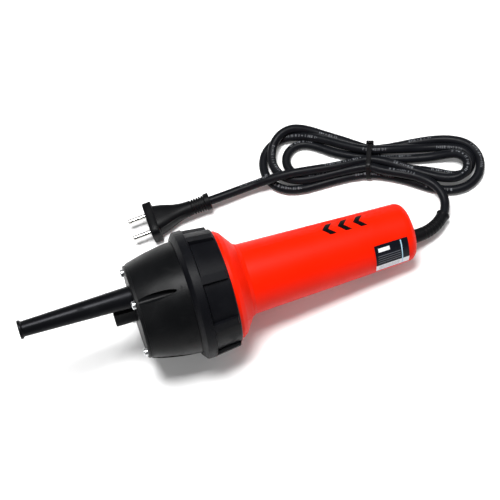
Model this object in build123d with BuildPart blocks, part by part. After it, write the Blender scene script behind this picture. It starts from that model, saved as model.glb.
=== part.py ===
"""Inline hot-air gun: red barrel handle, black coupling ring and nose, slim off-centre nozzle, corded.

Tool frame: the tool axis is X, a station is the distance forward of the rear face (x = -station),
+Z is the side opposite the cord outlet and -Y is the label side. SEAT then rolls and tilts the
finished tool so that it rests on the coupling ring and the rear edge of the handle, on z = 0.
"""
from build123d import *
from math import asin, atan2, cos, degrees, hypot, pi, radians, sin, tan
import os

os.makedirs("parts", exist_ok=True)

# ---- driving dimensions (mm) ----
HANDLE_REAR_R = 28.0        # barrel radius where the rear rounding starts
HANDLE_FRONT_R = 33.6       # barrel radius at the neck
HANDLE_WALL = 3.0
REAR_ROUNDING = 9.0
NECK = 162.0                # station where the barrel meets the bell
BELL_R = 51.3
RING_REAR = 182.0
RIM_REAR = 208.0
RIM_FRONT = 216.0
RING_FRONT = 220.0
RIM_R = 60.6
RIM_EDGE = 1.0
JOINT_FACE = 201.0          # front face of the bell flange
FLANGE_R = 53.4             # bell flange and nose skirt, inside the ring
RING_GAP = 0.4              # radial room between the ring and what it turns on
NOSE_REAR = 203.0
NOSE_FRONT = 265.0
PLATE_FRONT = 268.0
NOSE_TIP_R = 44.0
TUBE_OFFSET = 19.9          # nozzle axis above the tool axis
TUBE_BASE_R = 10.2
TUBE_TIP_R = 7.2
TUBE_TIP = 372.8
TUBE_RIM_R = 8.75
TUBE_RIM = 2.6
TUBE_WALL = 1.2
OUTLET_LENGTH = 12.0        # straight stretch of the bore behind the tip
BOSS_R = 8.2
BOSS_FRONT = 288.0
SCREW_PITCH_R = 38.2
FLUTE_PITCH_R = 48.4
FLUTE_R = 3.9
CORNERS = 4                 # front screws and flutes
CORNER_TURN = 52.0          # first of them, from the label side towards the upright
SHAFT_R = 4.0
SHAFT_TIP_R = 2.5
SHAFT_REAR = 75.0
SHAFT_STEP = 249.0
SHAFT_FRONT = 272.0
RUNNING = 0.05              # radial clearance of the shaft in its bearings
CORE_REAR = 104.0
CORE_FRONT = 144.0
ARMATURE_R = 13.8
STATOR_R = 26.0
STATOR_BORE = 14.5
BOLT_PITCH_R = 23.5
BOLT_R = 1.5
IMPELLER_R = 38.0
SWITCH_AT = 36.0            # station of the rocker's pivot
SWITCH_DEPTH = 26.8         # distance of the switch seat from the tool axis
CORD_D = 8.8
OUTLET_DROP = 10.5          # cord outlet below the tool axis
ROLL = -22.0                # the resting tool is rolled away from its label side


def barrel_radius(station):
    """Outside radius of the tapered handle."""
    start = REAR_ROUNDING
    return HANDLE_REAR_R + (HANDLE_FRONT_R - HANDLE_REAR_R) * (station - start) / (NECK - start)


# ---- how the tool rests: on the rear edge of the rim and on the rounding of the handle's end ----
REAR_FLAT_R = HANDLE_REAR_R - REAR_ROUNDING
RUN = RIM_REAR + RIM_EDGE - REAR_ROUNDING
RISE = RIM_R - RIM_EDGE - REAR_FLAT_R
TILT = atan2(RISE, RUN) + asin((RIM_EDGE - REAR_ROUNDING) / hypot(RUN, RISE))
AXIS_HEIGHT = REAR_FLAT_R * cos(TILT) + REAR_ROUNDING - REAR_ROUNDING * sin(TILT)
TIP_LOW = TUBE_OFFSET * cos(radians(ROLL)) - TUBE_RIM_R
FRONT_X = -TUBE_TIP * cos(TILT) + TIP_LOW * sin(TILT)
REAR_X = -REAR_ROUNDING * cos(TILT) + REAR_FLAT_R * sin(TILT) + REAR_ROUNDING
SHIFT_X = -(FRONT_X + REAR_X) / 2
SEAT = Location((SHIFT_X, 0, AXIS_HEIGHT), (0, degrees(TILT), 0)) * Location((0, 0, 0), (ROLL, 0, 0))


def save(piece, name):
    """Write one finished piece of the tool, seated on the ground."""
    piece.part.label = name
    seated = piece.part.moved(SEAT)
    seated.label = name
    export_step(seated, f"parts/{name}.step")


def save_on_ground(piece, name):
    """Write one finished piece that is modelled where it lies."""
    piece.part.label = name
    export_step(piece.part, f"parts/{name}.step")


def across(station):
    """Section plane at a station: x towards the label side, y up, extruding towards the nose."""
    return Plane(origin=(-station, 0, 0), x_dir=(0, -1, 0), z_dir=(-1, 0, 0))


def half_plane(angle=0.0):
    """Plane through the tool axis whose y points at an angle from up towards the label side."""
    turn = radians(angle)
    return Plane(origin=(0, 0, 0), x_dir=(1, 0, 0), z_dir=(0, -cos(turn), -sin(turn)))


def corners_of(outline, offset=0.0):
    """Points of an outline given as (station, radius) pairs about an axis raised by offset."""
    return [(-station, radius + offset) for station, radius in outline]


def turned(outline, offset=0.0):
    """Solid of revolution from (station, radius) pairs, about the tool axis or one raised by offset."""
    with BuildPart() as piece:
        with BuildSketch(half_plane()):
            with BuildLine():
                Polyline(*corners_of(outline, offset), close=True)
            make_face()
        revolve(axis=Axis((0, 0, offset), (1, 0, 0)))
    return piece


def tube_outline(rear, front, inner, outer):
    """Outline of a plain ring between two stations."""
    return [(rear, inner), (rear, outer), (front, outer), (front, inner)]


def circles_at(piece, station, radius):
    """Circular edges of a turned piece at one station and radius."""
    circles = piece.edges().filter_by(GeomType.CIRCLE)
    return circles.filter_by(
        lambda e: abs(e.arc_center.X + station) < 0.05 and abs(e.radius - radius) < 0.05
    )


# ---- handle housing: one pot with the bell at its front ----
CAVITY_REAR = 4.0
CAVITY = [(CAVITY_REAR, 0), (CAVITY_REAR, 19), (9.5, 24.8), (NECK, 30.4), (166, 31.6), (177, 46.8),
          (JOINT_FACE, 46.8), (JOINT_FACE, 0)]
INTAKE_ROWS = (35.0, 51.0)
INTAKE_LENGTH = 12.0
INTAKE_WIDTH = 3.2
INTAKE_ANGLES = (150, 165, 180, 195, 210, 225)
REAR_SLOTS = ((1.0, 26.0), (5.5, 25.0), (10.0, 21.0))
CLAMP_AT = 20.0
CLAMP_HALF = 9.0
CLAMP_LEG = 7.2

with BuildPart() as housing:
    with BuildSketch(half_plane()):
        with BuildLine():
            Polyline(*corners_of([(0, 0), (0, REAR_FLAT_R)]))
            RadiusArc((0, REAR_FLAT_R), (-REAR_ROUNDING, HANDLE_REAR_R), -REAR_ROUNDING)
            Polyline(*corners_of([
                (REAR_ROUNDING, HANDLE_REAR_R), (NECK, HANDLE_FRONT_R), (165.5, 35.6), (175, 48.6),
                (179, BELL_R), (190.4, BELL_R), (190.8, FLANGE_R), (JOINT_FACE, FLANGE_R),
                (JOINT_FACE, 0), (0, 0)]))
        make_face()
    revolve(axis=Axis.X)
    fillet(circles_at(housing, 175, 48.6), radius=5.0)
    with BuildSketch(half_plane()):
        with BuildLine():
            Polyline(*corners_of(CAVITY), close=True)
        make_face()
    revolve(axis=Axis.X, mode=Mode.SUBTRACT)
    # seat of the cord clamp
    with BuildSketch(across(CLAMP_AT - 5)):
        with Locations((0, -20.55)):
            Rectangle(2 * CLAMP_HALF, 11.3)
    extrude(amount=10)
    # cord outlet and the intake slots of the end wall
    with BuildSketch(across(-1)):
        with Locations((0, -OUTLET_DROP)):
            Circle(6.6)
    extrude(amount=CAVITY_REAR + 6, mode=Mode.SUBTRACT)
    for height, width in REAR_SLOTS:
        with BuildSketch(across(-1)):
            with Locations((0, height)):
                SlotOverall(width, 2.4)
        extrude(amount=CAVITY_REAR + 2, mode=Mode.SUBTRACT)
    # intake slots of the underside
    for row in INTAKE_ROWS:
        for angle in INTAKE_ANGLES:
            turn = radians(angle)
            ray = Plane(origin=(-row, 0, 0), x_dir=(1, 0, 0), z_dir=(0, -sin(turn), cos(turn)))
            with BuildSketch(ray.offset(20)):
                SlotOverall(INTAKE_LENGTH, INTAKE_WIDTH)
            extrude(amount=14, mode=Mode.SUBTRACT)
    # flat seat and window of the switch
    switch_side = Plane(origin=(-SWITCH_AT, 0, 0), x_dir=(-1, 0, 0), z_dir=(0, 1, 0))
    with BuildSketch(switch_side.offset(SWITCH_DEPTH)):
        Rectangle(26, 17)
    extrude(amount=5, mode=Mode.SUBTRACT)
    with BuildSketch(switch_side.offset(15)):
        Rectangle(20.4, 12.4)
    extrude(amount=14, mode=Mode.SUBTRACT)
save(housing, "housing")

# ---- rating label on the barrel ----
LABEL_REAR = 10.5
LABEL_FRONT = 43.5
LABEL_START = 58.0
LABEL_ARC = 62.0
LABEL_THICKNESS = 0.3

with BuildPart() as rating_label:
    with BuildSketch(half_plane(LABEL_START)):
        with BuildLine():
            Polyline(*corners_of([
                (LABEL_REAR, barrel_radius(LABEL_REAR)),
                (LABEL_REAR, barrel_radius(LABEL_REAR) + LABEL_THICKNESS),
                (LABEL_FRONT, barrel_radius(LABEL_FRONT) + LABEL_THICKNESS),
                (LABEL_FRONT, barrel_radius(LABEL_FRONT))]), close=True)
        make_face()
    revolve(axis=Axis.X, revolution_arc=LABEL_ARC)
save(rating_label, "rating_label")

# ---- coupling ring: turned band with a raised rim and axial grip ribs ----
RIBS = 8
RIB_WIDTH = 7.5
RIB_START = 7.0
RIB_REAR_R = 57.6
RIB_REAR = 183.4
PANEL_FRONT_R = 56.2

with BuildPart() as coupling_ring:
    with BuildSketch(half_plane()):
        with BuildLine():
            Polyline(*corners_of([
                (RING_REAR, BELL_R + RING_GAP), (RING_REAR, 53.4), (RING_REAR + 0.8, 54.2),
                (206.6, PANEL_FRONT_R), (RIM_REAR, RIM_R), (RIM_FRONT, RIM_R), (RING_FRONT, 55.6),
                (RING_FRONT, FLANGE_R + RING_GAP), (190.4, FLANGE_R + RING_GAP),
                (190.4, BELL_R + RING_GAP)]), close=True)
        make_face()
    revolve(axis=Axis.X)
    # grip ribs, from the rear band up to the rim
    for index in range(RIBS):
        with BuildSketch(half_plane(index * 360 / RIBS - RIB_START)):
            with BuildLine():
                Polyline(*corners_of([
                    (RIB_REAR, 54.0), (RIB_REAR + 1.2, RIB_REAR_R), (RIM_REAR + 0.5, 60.2),
                    (RIM_REAR + 0.5, 55.0)]), close=True)
            make_face()
        extrude(amount=RIB_WIDTH / 2, both=True)
    fillet(circles_at(coupling_ring, RIM_FRONT, RIM_R), radius=RIM_EDGE)
save(coupling_ring, "coupling_ring")

# ---- seal between the bell and the nose ----
save(turned(tube_outline(JOINT_FACE, NOSE_REAR, 48.9, 52.6)), "seal_ring")

# ---- nose shell: ogive with four flutes beside the front screws ----
NOSE_CAVITY = [(NOSE_REAR - 1, 0), (NOSE_REAR - 1, 49), (243, 46), (256, 38), (261, 32),
               (NOSE_FRONT + 1, 32), (NOSE_FRONT + 1, 0)]
FLUTE_WALL = 2.3

with BuildPart() as nose_cavity:
    with BuildSketch(half_plane()):
        with BuildLine():
            Polyline(*corners_of(NOSE_CAVITY), close=True)
        make_face()
    revolve(axis=Axis.X)
    with BuildSketch(across(NOSE_REAR + 18)):
        with PolarLocations(FLUTE_PITCH_R, CORNERS, start_angle=CORNER_TURN):
            Circle(FLUTE_R + FLUTE_WALL)
    extrude(amount=60, mode=Mode.SUBTRACT)

with BuildPart() as nose_shell:
    with BuildSketch(half_plane()):
        with BuildLine():
            Polyline(*corners_of([(PLATE_FRONT, 0), (NOSE_REAR, 0), (NOSE_REAR, FLANGE_R),
                                  (217, FLANGE_R)]))
            ThreePointArc((-217, FLANGE_R), (-245, 49.9), (-PLATE_FRONT, NOSE_TIP_R))
            Line((-PLATE_FRONT, NOSE_TIP_R), (-PLATE_FRONT, 0))
        make_face()
    revolve(axis=Axis.X)
    add(nose_cavity.part, mode=Mode.SUBTRACT)
    with BuildSketch(across(NOSE_REAR + 22)):
        with PolarLocations(FLUTE_PITCH_R, CORNERS, start_angle=CORNER_TURN):
            Circle(FLUTE_R)
    extrude(amount=60, mode=Mode.SUBTRACT)
    with BuildSketch(across(NOSE_FRONT - 9)):
        with PolarLocations(SCREW_PITCH_R, CORNERS, start_angle=CORNER_TURN):
            Circle(BOLT_R)
    extrude(amount=12, mode=Mode.SUBTRACT)
    # the front plate takes the last few millimetres
    with BuildSketch(across(NOSE_FRONT)):
        Circle(60)
    extrude(amount=10, mode=Mode.SUBTRACT)
save(nose_shell, "nose_shell")

# ---- front plate with its screws ----
with BuildPart() as front_plate:
    with BuildSketch(across(NOSE_FRONT)):
        Circle(NOSE_TIP_R)
        with Locations((0, 0)):
            Circle(BOSS_R, mode=Mode.SUBTRACT)
        with Locations((0, TUBE_OFFSET)):
            Circle(TUBE_BASE_R + 0.15, mode=Mode.SUBTRACT)
        with PolarLocations(SCREW_PITCH_R, CORNERS, start_angle=CORNER_TURN):
            Circle(BOLT_R + 0.2, mode=Mode.SUBTRACT)
    extrude(amount=PLATE_FRONT - NOSE_FRONT)
    chamfer(circles_at(front_plate, PLATE_FRONT, NOSE_TIP_R), length=0.8)
save(front_plate, "front_plate")

HEAD_R = 3.7
HEAD_HEIGHT = 3.3

with BuildPart() as front_screws:
    with BuildSketch(across(NOSE_FRONT - 8.5)):
        with PolarLocations(SCREW_PITCH_R, CORNERS, start_angle=CORNER_TURN):
            Circle(BOLT_R)
    extrude(amount=PLATE_FRONT - NOSE_FRONT + 8.5)
    with BuildSketch(across(PLATE_FRONT)):
        with PolarLocations(SCREW_PITCH_R, CORNERS, start_angle=CORNER_TURN):
            Circle(HEAD_R)
    extrude(amount=HEAD_HEIGHT)
    fillet(front_screws.edges().filter_by(GeomType.CIRCLE).group_by(Axis.X)[0], radius=1.2)
    with BuildSketch(across(PLATE_FRONT + HEAD_HEIGHT - 1.3)):
        with PolarLocations(SCREW_PITCH_R, CORNERS, start_angle=CORNER_TURN):
            Rectangle(4.2, 0.9)
            Rectangle(0.9, 4.2)
    extrude(amount=3, mode=Mode.SUBTRACT)
save(front_screws, "front_screws")

# ---- nozzle tube with its heater ----
TUBE_FLANGE_REAR = 262.0
TUBE_FLANGE_FRONT = 264.0
TUBE_FLANGE_R = 11.0
TAPER_END = TUBE_TIP - TUBE_RIM


def tube_radius(station):
    """Outside radius of the tapered nozzle tube."""
    return TUBE_BASE_R + (TUBE_TIP_R - TUBE_BASE_R) * (station - PLATE_FRONT) / (TAPER_END - PLATE_FRONT)


def bore_radius(station):
    """Inside radius of the nozzle tube behind its straight outlet."""
    way = (station - PLATE_FRONT) / (TUBE_TIP - OUTLET_LENGTH - PLATE_FRONT)
    return TUBE_BASE_R + (TUBE_TIP_R - TUBE_BASE_R) * way - TUBE_WALL


save(turned([
    (TUBE_FLANGE_REAR, TUBE_BASE_R - TUBE_WALL), (TUBE_FLANGE_REAR, TUBE_FLANGE_R),
    (TUBE_FLANGE_FRONT, TUBE_FLANGE_R), (TUBE_FLANGE_FRONT, TUBE_BASE_R), (PLATE_FRONT, TUBE_BASE_R),
    (TAPER_END - 1.2, tube_radius(TAPER_END - 1.2)), (TAPER_END, TUBE_RIM_R - 0.3),
    (TAPER_END + 0.4, TUBE_RIM_R), (TUBE_TIP - 0.4, TUBE_RIM_R), (TUBE_TIP, TUBE_RIM_R - 0.4),
    (TUBE_TIP, TUBE_TIP_R - TUBE_WALL), (TUBE_TIP - OUTLET_LENGTH, TUBE_TIP_R - TUBE_WALL),
    (PLATE_FRONT, TUBE_BASE_R - TUBE_WALL)], TUBE_OFFSET), "nozzle_tube")
save(turned(tube_outline(TUBE_FLANGE_FRONT, NOSE_FRONT, TUBE_BASE_R + 0.1, TUBE_FLANGE_R),
            TUBE_OFFSET), "tube_gasket")

SLEEVE_REAR = 270.0
SLEEVE_FRONT = 345.0
SLEEVE_GAP = 0.15
SLEEVE_WALL = 0.4
sleeve_out_rear = bore_radius(SLEEVE_REAR) - SLEEVE_GAP
sleeve_out_front = bore_radius(SLEEVE_FRONT) - SLEEVE_GAP
save(turned([
    (SLEEVE_REAR, sleeve_out_rear - SLEEVE_WALL), (SLEEVE_REAR, sleeve_out_rear),
    (SLEEVE_FRONT, sleeve_out_front), (SLEEVE_FRONT, sleeve_out_front - SLEEVE_WALL)],
    TUBE_OFFSET), "mica_sleeve")

FORMER_R = 4.2
COIL_WIRE = 0.35
COIL_PITCH = 4.5

with BuildPart() as heater_former:
    with BuildSketch(across(264)):
        with Locations((0, TUBE_OFFSET)):
            Circle(FORMER_R)
            with PolarLocations(2.3, 4, start_angle=45):
                Circle(0.9, mode=Mode.SUBTRACT)
    extrude(amount=350 - 264)
save(heater_former, "heater_former")

with BuildPart() as heater_coil:
    with BuildLine() as coil_path:
        Helix(COIL_PITCH, SLEEVE_FRONT - SLEEVE_REAR - 6, FORMER_R + COIL_WIRE + 0.1,
              center=(-SLEEVE_REAR - 2, 0, TUBE_OFFSET), direction=(-1, 0, 0))
    with BuildSketch(Plane(origin=coil_path.line @ 0, z_dir=coil_path.line % 0)):
        Circle(COIL_WIRE)
    sweep(path=coil_path.line, is_frenet=True)
save(heater_coil, "heater_coil")

# ---- air duct plate in front of the impeller, and the thermal cut-out on it ----
DUCT_REAR = 246.0
DUCT_PLATE = 2.5
CUTOUT_AT = (26.0, 0.0)

with BuildPart() as duct_plate:
    with BuildSketch(across(DUCT_REAR)):
        Circle(42.4)
        Circle(6, mode=Mode.SUBTRACT)
        with PolarLocations(FLUTE_PITCH_R, CORNERS, start_angle=CORNER_TURN):
            Circle(FLUTE_R + FLUTE_WALL + 0.3, mode=Mode.SUBTRACT)
        with Locations((0, 41)):
            Rectangle(11, 8, mode=Mode.SUBTRACT)
    extrude(amount=DUCT_PLATE)
    with BuildSketch(across(DUCT_REAR)):
        with Locations((0, TUBE_OFFSET)):
            Circle(TUBE_BASE_R + 0.4)
    extrude(amount=TUBE_FLANGE_REAR - DUCT_REAR)
    with BuildSketch(across(DUCT_REAR)):
        with Locations((0, TUBE_OFFSET)):
            Circle(TUBE_BASE_R - TUBE_WALL)
    extrude(amount=TUBE_FLANGE_REAR - DUCT_REAR, mode=Mode.SUBTRACT)
save(duct_plate, "duct_plate")

with BuildPart() as thermal_cutout:
    with BuildSketch(across(DUCT_REAR + DUCT_PLATE)):
        with Locations(CUTOUT_AT):
            Circle(6)
    extrude(amount=4)
    with BuildSketch(across(DUCT_REAR + DUCT_PLATE + 4)):
        with Locations((CUTOUT_AT[0] - 3, 0), (CUTOUT_AT[0] + 3, 0)):
            Rectangle(0.8, 3)
    extrude(amount=4)
save(thermal_cutout, "thermal_cutout")

# ---- front bearing in its cap ----
with BuildPart() as bearing_cap:
    with BuildSketch(half_plane()):
        with BuildLine():
            Polyline(*corners_of([
                (262, 5.5), (262, BOSS_R), (BOSS_FRONT, BOSS_R), (BOSS_FRONT, 0), (284, 0),
                (284, 4.5), (270.5, 4.5), (270.5, 5.5)]), close=True)
        make_face()
    revolve(axis=Axis.X)
    fillet(circles_at(bearing_cap, BOSS_FRONT, BOSS_R), radius=1.2)
save(bearing_cap, "bearing_cap")


def ball_bearing(rear, front, bore, outer):
    """Shielded ball bearing: both rings with a recessed shield between them."""
    land = (outer - bore) * 0.3
    recess = 0.5
    return turned([
        (rear, bore), (rear, bore + land), (rear + recess, bore + land), (rear + recess, outer - land),
        (rear, outer - land), (rear, outer), (front, outer), (front, outer - land),
        (front - recess, outer - land), (front - recess, bore + land), (front, bore + land),
        (front, bore)])


save(ball_bearing(266, 270.5, SHAFT_TIP_R + RUNNING, 5.5), "front_bearing")

# ---- rotor: shaft, armature, commutator, impeller ----
save(turned([
    (SHAFT_REAR, 0), (SHAFT_REAR, SHAFT_R - 0.5), (SHAFT_REAR + 0.5, SHAFT_R), (SHAFT_STEP, SHAFT_R),
    (SHAFT_STEP, SHAFT_TIP_R), (SHAFT_FRONT, SHAFT_TIP_R), (SHAFT_FRONT, 0)]), "shaft")

ARMATURE_SLOTS = 12

with BuildPart() as armature_core:
    with BuildSketch(across(CORE_REAR)):
        Circle(ARMATURE_R)
        Circle(SHAFT_R, mode=Mode.SUBTRACT)
        with PolarLocations(10, ARMATURE_SLOTS):
            Circle(1.9, mode=Mode.SUBTRACT)
        with PolarLocations(12.5, ARMATURE_SLOTS):
            Rectangle(4, 1.2, mode=Mode.SUBTRACT)
    extrude(amount=CORE_FRONT - CORE_REAR)
save(armature_core, "armature_core")

with BuildPart() as armature_windings:
    with BuildSketch(across(CORE_REAR)):
        with PolarLocations(10, ARMATURE_SLOTS):
            Circle(1.7)
    extrude(amount=CORE_FRONT - CORE_REAR)
    with BuildSketch(half_plane()):
        with BuildLine():
            Polyline(*corners_of([(99.5, 4), (99.5, 9.5), (101, 11.5), (CORE_REAR, 12), (CORE_REAR, 4)]),
                     close=True)
        make_face()
        with BuildLine():
            Polyline(*corners_of([(CORE_FRONT, 4), (CORE_FRONT, 12), (147, 11.5), (149, 9.5), (149, 4)]),
                     close=True)
        make_face()
    revolve(axis=Axis.X)
save(armature_windings, "armature_windings")

COMMUTATOR_REAR = 88.0
COMMUTATOR_FRONT = 99.0
COMMUTATOR_R = 9.0

with BuildPart() as commutator:
    with BuildSketch(across(COMMUTATOR_REAR)):
        Circle(COMMUTATOR_R)
        Circle(SHAFT_R, mode=Mode.SUBTRACT)
        with PolarLocations(COMMUTATOR_R - 0.4, 2 * ARMATURE_SLOTS):
            Rectangle(1.6, 0.5, mode=Mode.SUBTRACT)
    extrude(amount=COMMUTATOR_FRONT - COMMUTATOR_REAR)
save(commutator, "commutator")

IMPELLER_REAR = 222.0
IMPELLER_FRONT = 238.0
SHROUD = 1.3
EYE_R = 17.0
BLADES = 9

with BuildPart() as impeller:
    with BuildSketch(across(IMPELLER_FRONT - SHROUD)):
        Circle(IMPELLER_R)
    extrude(amount=SHROUD)
    with BuildSketch(across(IMPELLER_REAR)):
        Circle(IMPELLER_R)
        Circle(EYE_R, mode=Mode.SUBTRACT)
    extrude(amount=SHROUD)
    with BuildSketch(across(IMPELLER_REAR - 4)):
        Circle(8)
    extrude(amount=IMPELLER_FRONT - IMPELLER_REAR + 6)
    with BuildSketch(across(IMPELLER_REAR + 0.5)):
        with PolarLocations(26.5, BLADES):
            Rectangle(21, 1.4, rotation=-32)
    extrude(amount=IMPELLER_FRONT - IMPELLER_REAR - 1)
    with BuildSketch(across(IMPELLER_REAR - 5)):
        Circle(SHAFT_R)
    extrude(amount=30, mode=Mode.SUBTRACT)
save(impeller, "impeller")

with BuildPart() as impeller_nut:
    with BuildSketch(across(240)):
        RegularPolygon(6.5, 6, major_radius=False)
        Circle(SHAFT_R, mode=Mode.SUBTRACT)
    extrude(amount=5)
save(impeller_nut, "impeller_nut")

# ---- inlet plate behind the impeller ----
with BuildPart() as inlet_plate:
    with BuildSketch(across(206)):
        Circle(48.3)
        Circle(14, mode=Mode.SUBTRACT)
        with Locations((0, 44)):
            Rectangle(11, 5, mode=Mode.SUBTRACT)
    extrude(amount=3)
    with BuildSketch(across(209)):
        Circle(16.5)
        Circle(14, mode=Mode.SUBTRACT)
    extrude(amount=11)
save(inlet_plate, "inlet_plate")

# ---- stator with its field coils ----
POLE_WIDTH = 14.0
COIL_ACROSS = 20.0
COIL_IN_R = 14.9
COIL_OUT_R = 17.5

with BuildPart() as stator_core:
    with BuildSketch(across(CORE_REAR)):
        Circle(STATOR_R)
        Circle(20.5, mode=Mode.SUBTRACT)
        with PolarLocations(18, 2, start_angle=90):
            Rectangle(8, POLE_WIDTH)
        Circle(STATOR_BORE, mode=Mode.SUBTRACT)
        with PolarLocations(BOLT_PITCH_R, 2, start_angle=45):
            Circle(BOLT_R, mode=Mode.SUBTRACT)
    extrude(amount=CORE_FRONT - CORE_REAR)
save(stator_core, "stator_core")

core_middle = -(CORE_REAR + CORE_FRONT) / 2
with BuildPart() as field_coils:
    for side in (1, -1):
        pole = Plane(origin=(core_middle, 0, side * COIL_IN_R), x_dir=(1, 0, 0), z_dir=(0, 0, side))
        with BuildSketch(pole):
            RectangleRounded(CORE_FRONT - CORE_REAR + 8, COIL_ACROSS, 3)
            Rectangle(CORE_FRONT - CORE_REAR + 0.4, POLE_WIDTH + 0.4, mode=Mode.SUBTRACT)
        extrude(amount=COIL_OUT_R - COIL_IN_R)
save(field_coils, "field_coils")


def end_frame(rear, front, rim_r):
    """Bearing carrier: hub, four arms and rim, with bolt holes and a notch for the leads."""
    with BuildPart() as frame:
        with BuildSketch(across(rear)):
            Circle(rim_r)
            Circle(21.3, mode=Mode.SUBTRACT)
            with Locations((0, 0)):
                Rectangle(45, 6)
                Rectangle(6, 45)
            Circle(13)
            Circle(11, mode=Mode.SUBTRACT)
            with PolarLocations(BOLT_PITCH_R, 2, start_angle=45):
                Circle(BOLT_R, mode=Mode.SUBTRACT)
            with Locations((0, rim_r)):
                Rectangle(11, 7, mode=Mode.SUBTRACT)
        extrude(amount=front - rear)
    return frame


REAR_BEARING = (78.5, 85.5)
MIDDLE_BEARING = (150.5, 157.5)
save(end_frame(REAR_BEARING[0], REAR_BEARING[1], 27.2), "rear_end_frame")
save(end_frame(MIDDLE_BEARING[0], MIDDLE_BEARING[1], 29.8), "front_end_frame")
save(ball_bearing(REAR_BEARING[0], REAR_BEARING[1], SHAFT_R + RUNNING, 11), "rear_bearing")
save(ball_bearing(MIDDLE_BEARING[0], MIDDLE_BEARING[1], SHAFT_R + RUNNING, 11), "middle_bearing")

with BuildPart() as motor_bolts:
    with BuildSketch(across(75)):
        with PolarLocations(BOLT_PITCH_R, 2, start_angle=45):
            Circle(BOLT_R)
    extrude(amount=MIDDLE_BEARING[1] - 75)
    with BuildSketch(across(MIDDLE_BEARING[1])):
        with PolarLocations(BOLT_PITCH_R, 2, start_angle=45):
            Circle(2.8)
    extrude(amount=2.4)
save(motor_bolts, "motor_bolts")

# ---- carbon brushes on both sides of the commutator ----
BRUSH_AT = 93.5
BRUSH_ACROSS = 4.0
BRUSH_ALONG = 6.0
BRUSH_INNER = 9.3
BRUSH_OUTER = 17.0
HOLDER_OUTER = 23.5


def beside_commutator(side, distance):
    """Plane facing outwards at a distance from the tool axis, on either side of the commutator."""
    return Plane(origin=(-BRUSH_AT, side * distance, 0), x_dir=(1, 0, 0), z_dir=(0, side, 0))


with BuildPart() as brush_holders:
    for side in (1, -1):
        with BuildSketch(beside_commutator(side, 10.5)):
            Rectangle(BRUSH_ALONG + 2, BRUSH_ACROSS + 2)
            Rectangle(BRUSH_ALONG, BRUSH_ACROSS, mode=Mode.SUBTRACT)
        extrude(amount=HOLDER_OUTER - 10.5)
save(brush_holders, "brush_holders")

with BuildPart() as carbon_brushes:
    for side in (1, -1):
        with BuildSketch(beside_commutator(side, BRUSH_INNER)):
            Rectangle(BRUSH_ALONG, BRUSH_ACROSS)
        extrude(amount=BRUSH_OUTER - BRUSH_INNER)
save(carbon_brushes, "carbon_brushes")

with BuildPart() as brush_springs:
    for side in (1, -1):
        with BuildLine() as spring_path:
            Helix(1.4, HOLDER_OUTER - BRUSH_OUTER - 0.8, 1.5,
                  center=(-BRUSH_AT, side * (BRUSH_OUTER + 0.3), 0), direction=(0, side, 0))
        with BuildSketch(Plane(origin=spring_path.line @ 0, z_dir=spring_path.line % 0)):
            Circle(0.25)
        sweep(path=spring_path.line, is_frenet=True)
save(brush_springs, "brush_springs")

with BuildPart() as brush_carrier:
    with BuildSketch(across(REAR_BEARING[1])):
        with Locations((17.5, 0), (-17.5, 0)):
            Rectangle(13, 9)
    extrude(amount=BRUSH_AT - BRUSH_ALONG / 2 - 1 - REAR_BEARING[1])
save(brush_carrier, "brush_carrier")

# ---- control board with terminal block and suppression capacitor ----
BOARD_REAR = 68.0
BOARD_FRONT = 69.6

with BuildPart() as control_board:
    with BuildSketch(across(BOARD_REAR)):
        Circle(24)
        with Locations((0, 0)):
            Circle(6, mode=Mode.SUBTRACT)
        with Locations((26, 0), (-26, 0)):
            Rectangle(22, 60, mode=Mode.SUBTRACT)
    extrude(amount=BOARD_FRONT - BOARD_REAR)
save(control_board, "control_board")

with BuildPart() as terminal_block:
    with BuildSketch(across(57)):
        with Locations((0, -12)):
            Rectangle(22, 9)
        with Locations((-6, -12), (0, -12), (6, -12)):
            Circle(1.6, mode=Mode.SUBTRACT)
    extrude(amount=BOARD_REAR - 57)
save(terminal_block, "terminal_block")

with BuildPart() as capacitor:
    with BuildSketch(across(55)):
        with Locations((0, 13)):
            RectangleRounded(18, 8, 1)
    extrude(amount=BOARD_REAR - 55)
save(capacitor, "capacitor")

LEAD_R = 0.9
with BuildPart() as heater_leads:
    for side in (1, -1):
        with BuildLine(half_plane().offset(3 * side)) as lead_path:
            FilletPolyline(*corners_of([(BOARD_FRONT + 0.6, 22.5), (78, 26.2), (158, 28.2), (168, 30),
                                        (184, 43.9), (243, 43.6), (257, 31.5)]), radius=3)
        with BuildSketch(Plane(origin=lead_path.line @ 0, z_dir=lead_path.line % 0)):
            Circle(LEAD_R)
        sweep(path=lead_path.line)
save(heater_leads, "heater_leads")

# ---- rocker switch on the side opposite the label ----
PIVOT_DEPTH = SWITCH_DEPTH - 1.0

with BuildPart() as switch_body:
    with BuildSketch(switch_side.offset(SWITCH_DEPTH)):
        RectangleRounded(25.4, 16.4, 2)
    extrude(amount=1.6)
    with BuildSketch(switch_side.offset(SWITCH_DEPTH - 13)):
        Rectangle(20, 12)
    extrude(amount=13)
    with BuildSketch(switch_side.offset(SWITCH_DEPTH - 8)):
        Rectangle(17.2, 9.4)
    extrude(amount=12, mode=Mode.SUBTRACT)
save(switch_body, "switch_body")

with BuildPart() as switch_rocker:
    with BuildSketch(Plane(origin=(0, 0, -4.3), x_dir=(-1, 0, 0), z_dir=(0, 0, -1))):
        with BuildLine():
            Polyline((SWITCH_AT - 7.8, PIVOT_DEPTH - 1.5), (SWITCH_AT - 7.8, PIVOT_DEPTH + 3.4),
                     (SWITCH_AT, PIVOT_DEPTH + 2.2), (SWITCH_AT + 7.8, PIVOT_DEPTH + 3.4),
                     (SWITCH_AT + 7.8, PIVOT_DEPTH - 1.5), (SWITCH_AT, PIVOT_DEPTH - 4.5), close=True)
        make_face()
    extrude(amount=-8.6)
save(switch_rocker, "switch_rocker")

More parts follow.
